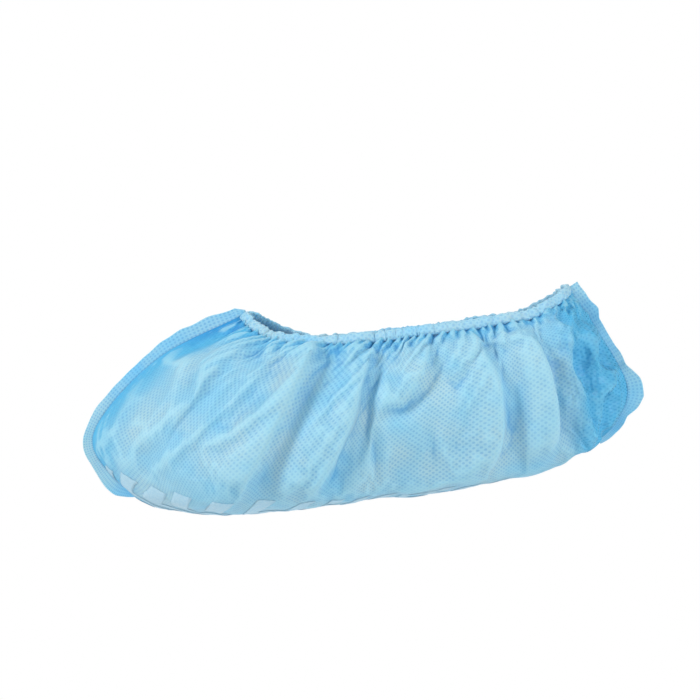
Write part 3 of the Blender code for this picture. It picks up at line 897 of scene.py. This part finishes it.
Swell = namedtuple("Swell", "part reach share")
TOE_SWELLS = (Swell(0.80, 0.22, 0.42), Swell(0.10, 0.12, 0.40))
Width = namedtuple("Width", "part width")
HEEL_WIDTHS = (Width(0.00, 0.0030), Width(0.20, 0.0046), Width(0.31, 0.0100), Width(0.42, 0.0062),
               Width(0.47, 0.0046), Width(0.60, 0.0042), Width(0.76, 0.0046), Width(0.81, 0.0070),
               Width(1.00, 0.0064))
TOE_SWAY = 0.0009
HEEL_UNEVEN = 0.22
HEEL_CREASE_PITCH = 0.031
HEEL_CREASE_DEEP = 0.0030
HEEL_SWAY = 0.0012


def toe_width(place, part):
    uneven = 0.90 + 0.16 * noise.noise(Vector((place * 90.0, 0.0, 3.0)))
    swelled = 1.0 + sum(row.share * ease(1.0 - abs(part - row.part) / row.reach) for row in TOE_SWELLS)
    return TOE_WELD_WIDTH * uneven * swelled * min(1.0, 0.3 + part * 8, 0.4 + (1 - part) * 20)


def toe_sway(place, across):
    return TOE_SWAY * across * noise.noise(Vector((place * 45.0, 0.0, 7.0)))


def heel_width(place, part):
    full = np.interp(part, [row.part for row in HEEL_WIDTHS], [row.width for row in HEEL_WIDTHS])
    return float(full) * (1.0 + HEEL_UNEVEN * noise.noise(Vector((place * 120.0, 0.0, 5.0))))


def heel_sway(place, across):
    zigzag = 2 * abs((place / HEEL_CREASE_PITCH) % 1.0 - 0.5) - 0.5
    sway = HEEL_SWAY * noise.noise(Vector((place * 110.0, 0.0, 1.0)))
    return across * (HEEL_CREASE_DEEP * zigzag + sway)


toe_weld = weld_object("toe_weld", 0.0, 1.0, toe_width, toe_sway)
heel_weld = weld_object("heel_weld", 1.0, -1.0, heel_width, heel_sway)
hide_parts("toe_seam")
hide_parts("heel_seam")

# %% [markdown]
# ## The grip print
# The zigzag bands are printed on the flat sheet before it is folded, so they are placed by
# their distances on the sheet: along the keel, and from the keel up each side. Then they
# are laid on the settled cloth, a quarter of a millimetre off its surface. Next to the toe
# the weld takes up some of the sheet, so the first bands are drawn in towards it.

# %% Lay the print on the cloth
BAND_COUNT = 14
BAND_PITCH = 0.0149
BAND_TOE_MARGIN = -0.0020
BAND_DRAWN_IN = 0.007
BANDS_TO_DRAW_IN = 4
PRINT_TOE_REACH = 0.110
BAND_WIDTH = 0.0066
BAND_HALF_WIDTHS = (0.036, 0.040, 0.044, 0.050, 0.052, 0.050, 0.047, 0.043, 0.039, 0.036, 0.034, 0.033,
                    0.031, 0.028)
BAND_THICK = 0.00012
BAND_LIFT = 0.00022
BAND_STEPS = 120
BAND_ROWS = 6
BAND_FLAT_SHARE = 2.6
PLACE_ROUNDS = 3
KEEL_PASSES = 8
Corner = namedtuple("Corner", "out back")
ZIGZAG = (Corner(0.0, 0.0), Corner(0.31, 0.80), Corner(0.62, 0.0), Corner(1.0, 0.72))

keel_row = WIDTH_CELLS // 2
steps_out = np.linalg.norm(np.diff(spots, axis=0), axis=2)
out_arc = np.concatenate([np.zeros((1, LENGTH_CELLS + 1)), np.cumsum(steps_out, axis=0)])
out_arc -= out_arc[keel_row]
steps_on = np.linalg.norm(np.diff(blurred(spots, KEEL_PASSES), axis=1), axis=2)
on_arc = np.concatenate([np.zeros((WIDTH_CELLS + 1, 1)), np.cumsum(steps_on, axis=1)], axis=1)
columns = np.arange(LENGTH_CELLS + 1)
rows = np.arange(WIDTH_CELLS + 1)


def between(grid, row, column):
    """Value of a grid at a place between its points."""
    low = min(int(row), WIDTH_CELLS - 1)
    first = min(max(int(column), 0), LENGTH_CELLS - 1)
    up = row - low
    part = column - first
    near = grid[low, first] * (1 - part) + grid[low, first + 1] * part
    far = grid[low + 1, first] * (1 - part) + grid[low + 1, first + 1] * part
    return near * (1 - up) + far * up


def on_cloth(along, across):
    """Place on the settled cloth of a point of the flat print.

    Near the toe the distance from the weld is measured along the cloth, also beside the keel.
    """
    by_keel = float(np.interp(along, on_arc[keel_row], columns))
    column = by_keel
    for _ in range(PLACE_ROUNDS):
        first = min(int(column), LENGTH_CELLS - 1)
        row = float(np.interp(across, out_arc[:, first], rows))
        low = min(int(row), WIDTH_CELLS - 1)
        beside = on_arc[low] * (1 - row + low) + on_arc[low + 1] * (row - low)
        by_row = float(np.interp(along, beside, columns))
        share_of_keel = ease(along / PRINT_TOE_REACH)
        column = by_row * (1 - share_of_keel) + by_keel * share_of_keel
    place, normal, _, _ = surface.find_nearest(Vector(between(spots, row, column)))
    return place + normal * BAND_LIFT


outs = np.linspace(-1.0, 1.0, BAND_STEPS + 1)
backs = np.interp(np.abs(outs), [corner.out for corner in ZIGZAG], [corner.back for corner in ZIGZAG])
for number in range(BAND_COUNT):
    half = BAND_HALF_WIDTHS[number]
    start = BAND_TOE_MARGIN + number * BAND_PITCH - BAND_DRAWN_IN * ease(number / BANDS_TO_DRAW_IN)
    points = [on_cloth(start + back * BAND_PITCH + across * BAND_WIDTH, out * half)
              for across in np.linspace(0.0, 1.0, BAND_ROWS + 1) for out, back in zip(outs, backs)]
    band = sheet_object(f"grip_print_{number + 1:02d}", points, BAND_STEPS, BAND_ROWS,
                        (BAND_FLAT_SHARE * half, BAND_WIDTH))
    band.data.shade_smooth()
    coat = band.modifiers.new("coat", "SOLIDIFY")
    coat.thickness = BAND_THICK
    coat.offset = 0.0
    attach(band, "root")
    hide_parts(f"grip_band_{number + 1:02d}")
print(BAND_COUNT, "bands laid on the cloth")

# %% [markdown]
# ## Materials
# Spun-bonded fabric is a felt of fine fibres, melted together in a grid of small dots. The
# dot grid is a node group that reads the flat sheet's UV map in metres, so the dots follow
# the cloth. Fibres, clouds and crinkles are noise, and the blue reads the values that were
# stored on the mesh, among them the painted shade and painted highlight of the folds.

# %% Node helpers
def add_node(tree, kind, **settings):
    made = tree.nodes.new(kind)
    for name, value in settings.items():
        setattr(made, name, value)
    return made


def math_node(tree, operation, *values):
    made = add_node(tree, "ShaderNodeMath", operation=operation)
    for socket, value in zip(made.inputs, values):
        if isinstance(value, (int, float)):
            socket.default_value = value
        else:
            tree.links.new(value, socket)
    return made.outputs[0]


def smooth_range(tree, value, start, end, low=0.0, high=1.0):
    made = add_node(tree, "ShaderNodeMapRange", interpolation_type="SMOOTHSTEP")
    tree.links.new(value, made.inputs["Value"])
    for name, number in (("From Min", start), ("From Max", end), ("To Min", low), ("To Max", high)):
        made.inputs[name].default_value = number
    return made.outputs["Result"]


def blend(tree, factor, first, second):
    made = add_node(tree, "ShaderNodeMix", data_type="RGBA")
    tree.links.new(factor, made.inputs["Factor"])
    for socket, value in ((made.inputs[6], first), (made.inputs[7], second)):
        if isinstance(value, tuple):
            socket.default_value = value
        else:
            tree.links.new(value, socket)
    return made.outputs[2]


def noise_value(tree, vector, scale, detail, roughness=0.5):
    made = add_node(tree, "ShaderNodeTexNoise")
    tree.links.new(vector, made.inputs["Vector"])
    made.inputs["Scale"].default_value = scale
    made.inputs["Detail"].default_value = detail
    made.inputs["Roughness"].default_value = roughness
    return made.outputs["Fac"]


print("node helpers ready")


# %% The dot grid
def dot_group(name, pitch, turn, inner, outer):
    """Soft dots on a square grid over the flat sheet; the value is 1 in a dot."""
    group = bpy.data.node_groups.new(name, "ShaderNodeTree")
    group.interface.new_socket("UV", in_out="INPUT", socket_type="NodeSocketVector")
    group.interface.new_socket("Dot", in_out="OUTPUT", socket_type="NodeSocketFloat")
    source = group.nodes.new("NodeGroupInput")
    result = group.nodes.new("NodeGroupOutput")
    placed = add_node(group, "ShaderNodeMapping")
    placed.inputs["Rotation"].default_value = (0.0, 0.0, turn)
    placed.inputs["Scale"].default_value = (1 / pitch, 1 / pitch, 0.0)
    group.links.new(source.outputs["UV"], placed.inputs["Vector"])
    cell = add_node(group, "ShaderNodeVectorMath", operation="FRACTION")
    group.links.new(placed.outputs["Vector"], cell.inputs[0])
    centred = add_node(group, "ShaderNodeVectorMath", operation="SUBTRACT")
    group.links.new(cell.outputs[0], centred.inputs[0])
    centred.inputs[1].default_value = (0.5, 0.5, 0.0)
    far = add_node(group, "ShaderNodeVectorMath", operation="LENGTH")
    group.links.new(centred.outputs[0], far.inputs[0])
    dot = smooth_range(group, far.outputs["Value"], inner, outer, 1.0, 0.0)
    group.links.new(dot, result.inputs["Dot"])
    return group


BOND_PITCH = 0.0021
BOND_TURN = math.radians(45.0)
WELD_PITCH = 0.0015

bond_dots = dot_group("bond dots", BOND_PITCH, BOND_TURN, 0.18, 0.40)
weld_dots = dot_group("weld dots", WELD_PITCH, 0.0, 0.20, 0.38)
print("dot groups:", bond_dots.name, "and", weld_dots.name)

# %% Fabric, casing, weld and print
LIGHT_BLUE = (0.250, 0.595, 0.835, 1.0)
PALE_BLUE = (0.440, 0.670, 0.745, 1.0)
SKY_BLUE = (0.110, 0.480, 0.790, 1.0)
CASING_BLUE = (0.270, 0.640, 0.880, 1.0)
DEEP_BLUE = (0.012, 0.230, 0.600, 1.0)
# Pale blue of the painted highlight on convex fold ridges
RIDGE_HIGHLIGHT_BLUE = (0.400, 0.740, 0.900, 1.0)
WELD_BLUE = (0.215, 0.560, 0.850, 1.0)
PRINT_WHITE = (0.46, 0.69, 0.82, 1.0)
PRINT_THIN = (0.34, 0.61, 0.78, 1.0)
FIBRE_SCALE = 1500.0
FIBRE_SHADE = 0.16
FIBRE_HEIGHT = 0.00003
CLOUD_SCALE = 38.0
CRINKLE_SCALE = 260.0
CRINKLE_HEIGHT = 0.00055
DOT_HEIGHT = -0.00003
Facet = namedtuple("Facet", "scale slope")
FACETS = (Facet(85.0, 0.30), Facet(170.0, 0.12))
FACET_SHINE = 0.16
SPECKLE_SCALE = 900.0


def fabric_material(name, dots, light, deep, dot_colour, creased):
    """Fabric with a dot grid; a creased one also reads the values stored on the cloth, which paint shade
    into the fold hollows and highlights onto the ridges.
    """
    made = bpy.data.materials.new(name)
    made.use_nodes = True
    tree = made.node_tree
    shader = tree.nodes["Principled BSDF"]
    uv = add_node(tree, "ShaderNodeUVMap", uv_map="sheet").outputs["UV"]
    place = add_node(tree, "ShaderNodeTexCoord").outputs["Object"]
    dot = add_node(tree, "ShaderNodeGroup", node_tree=dots)
    tree.links.new(uv, dot.inputs["UV"])
    fibre = noise_value(tree, uv, FIBRE_SCALE, 3.0, 0.7)
    cloudy = noise_value(tree, place, CLOUD_SCALE, 3.0)
    crinkle = noise_value(tree, place, CRINKLE_SCALE, 4.0, 0.6)
    colour = blend(tree, smooth_range(tree, cloudy, 0.20, 0.80), light, PALE_BLUE)
    if creased:
        looser = add_node(tree, "ShaderNodeAttribute", attribute_name="loose").outputs["Fac"]
        wavering = math_node(tree, "ADD", looser, math_node(tree, "MULTIPLY_ADD", cloudy, 0.25, -0.12))
        colour = blend(tree, smooth_range(tree, wavering, 0.05, 0.95), colour, SKY_BLUE)
        colour = blend(tree, smooth_range(tree, wavering, 1.00, 1.70, 0.0, 0.65), colour, deep)
    shade = math_node(tree, "MULTIPLY", smooth_range(tree, fibre, 0.30, 0.75), FIBRE_SHADE)
    colour = blend(tree, shade, colour, deep)
    dotted = math_node(tree, "MULTIPLY", dot.outputs["Dot"], dot_colour)
    colour = blend(tree, dotted, colour, deep)
    if creased:
        level = add_node(tree, "ShaderNodeAttribute", attribute_name="painted_fold_shading").outputs["Fac"]
        # Painted shade: the hollows of the folds are darkened towards deep blue
        colour = blend(tree, smooth_range(tree, level, 0.20, 1.00, 0.0, 0.46), colour, deep)
        # Painted highlight: convex ridges of the folds are lightened towards a pale blue
        colour = blend(tree, smooth_range(tree, level, -0.95, -0.25, 0.55, 0.0), colour, RIDGE_HIGHLIGHT_BLUE)
    tree.links.new(colour, shader.inputs["Base Color"])
    height = math_node(tree, "MULTIPLY", dot.outputs["Dot"], DOT_HEIGHT)
    height = math_node(tree, "ADD", height, math_node(tree, "MULTIPLY", fibre, FIBRE_HEIGHT))
    height = math_node(tree, "ADD", height, math_node(tree, "MULTIPLY", crinkle, CRINKLE_HEIGHT))
    rough = smooth_range(tree, dot.outputs["Dot"], 0.0, 1.0, 0.62, 0.40)
    if creased:
        crumpled = add_node(tree, "ShaderNodeAttribute", attribute_name="crumpled").outputs["Fac"]
        for scale, slope in FACETS:
            cells = add_node(tree, "ShaderNodeTexVoronoi", feature="F1", distance="MANHATTAN")
            cells.inputs["Scale"].default_value = scale
            tree.links.new(place, cells.inputs["Vector"])
            facet = math_node(tree, "MULTIPLY", cells.outputs["Distance"], slope / scale)
            height = math_node(tree, "MULTIPLY_ADD", facet, crumpled, height)
        rough = math_node(tree, "SUBTRACT", rough, math_node(tree, "MULTIPLY", crumpled, FACET_SHINE))
    bump = add_node(tree, "ShaderNodeBump")
    bump.inputs["Strength"].default_value = 0.8
    bump.inputs["Distance"].default_value = 1.0
    tree.links.new(height, bump.inputs["Height"])
    tree.links.new(bump.outputs["Normal"], shader.inputs["Normal"])
    tree.links.new(rough, shader.inputs["Roughness"])
    shader.inputs["Specular IOR Level"].default_value = 0.22
    shader.inputs["Subsurface Weight"].default_value = 0.35
    shader.inputs["Subsurface Radius"].default_value = (0.5, 0.9, 1.0)
    shader.inputs["Subsurface Scale"].default_value = 0.003
    return made


fabric = fabric_material("nonwoven fabric", bond_dots, LIGHT_BLUE, DEEP_BLUE, 0.35, True)
casing = fabric_material("gathered fabric", bond_dots, CASING_BLUE, DEEP_BLUE, 0.22, False)
welded = fabric_material("welded fabric", weld_dots, WELD_BLUE, DEEP_BLUE, 0.34, False)
coating = bpy.data.materials.new("grip print")
coating.use_nodes = True
tree = coating.node_tree
shader = tree.nodes["Principled BSDF"]
coat_place = add_node(tree, "ShaderNodeTexCoord").outputs["Object"]
speckle = noise_value(tree, coat_place, SPECKLE_SCALE, 3.0, 0.7)
tree.links.new(blend(tree, smooth_range(tree, speckle, 0.30, 0.70), PRINT_WHITE, PRINT_THIN),
               shader.inputs["Base Color"])
tree.links.new(smooth_range(tree, speckle, 0.2, 0.8, 0.35, 0.6), shader.inputs["Roughness"])

for piece, material in ((cloth, fabric), (hem, casing), (toe_weld, welded), (heel_weld, welded)):
    piece.data.materials.append(material)
for number in range(BAND_COUNT):
    bpy.data.objects[f"grip_print_{number + 1:02d}"].data.materials.append(coating)
print("materials set")
